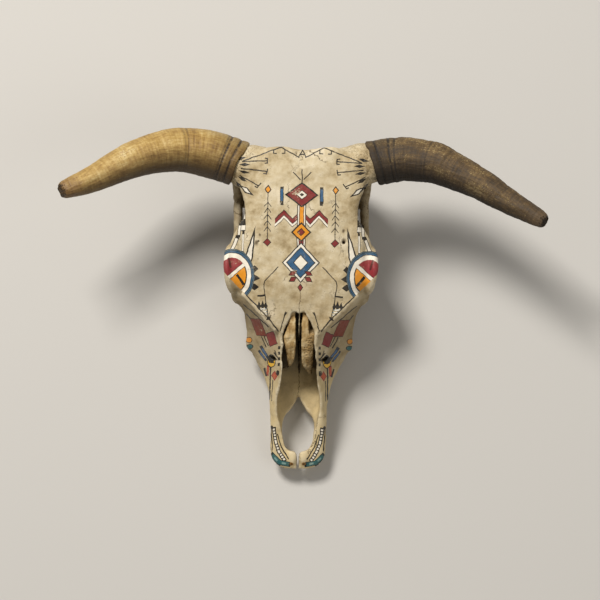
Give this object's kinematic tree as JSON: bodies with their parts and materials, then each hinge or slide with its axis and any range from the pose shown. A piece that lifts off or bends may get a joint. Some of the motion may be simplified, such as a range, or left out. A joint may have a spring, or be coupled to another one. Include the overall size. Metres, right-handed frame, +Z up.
{
  "type": "painted cow skull",
  "caption": "Dry horned cattle skull with upper cheek teeth and painted decoration, lying on its teeth and rear prongs.",
  "frame": {"origin": "bottom centre of the whole skull's bounding box, on the table that it lies on", "axes": "+X across the horns, to the viewer's right when looking down on the forehead with the muzzle nearest; +Y from the muzzle to the poll; +Z up from the table"},
  "size_m": [0.7229, 0.4886, 0.2407],
  "materials": {
    "painted_bone": "dry weathered bone with flat hand-painted markings",
    "tooth": "stained enamel",
    "pale_horn": "honey-brown keratin, dull, with fine lengthwise grain",
    "dark_horn": "grey-brown keratin, scuffed and flaking"
  },
  "bodies": {
    "root": {"skull": "painted_bone", "horn_sheath_left": "pale_horn", "horn_sheath_right": "dark_horn", "premolar_2_left": "tooth", "premolar_3_left": "tooth", "premolar_4_left": "tooth", "molar_1_left": "tooth", "molar_2_left": "tooth", "molar_3_left": "tooth", "premolar_2_right": "tooth", "premolar_3_right": "tooth", "premolar_4_right": "tooth", "molar_1_right": "tooth", "molar_2_right": "tooth", "molar_3_right": "tooth"}
  },
  "joints": []
}
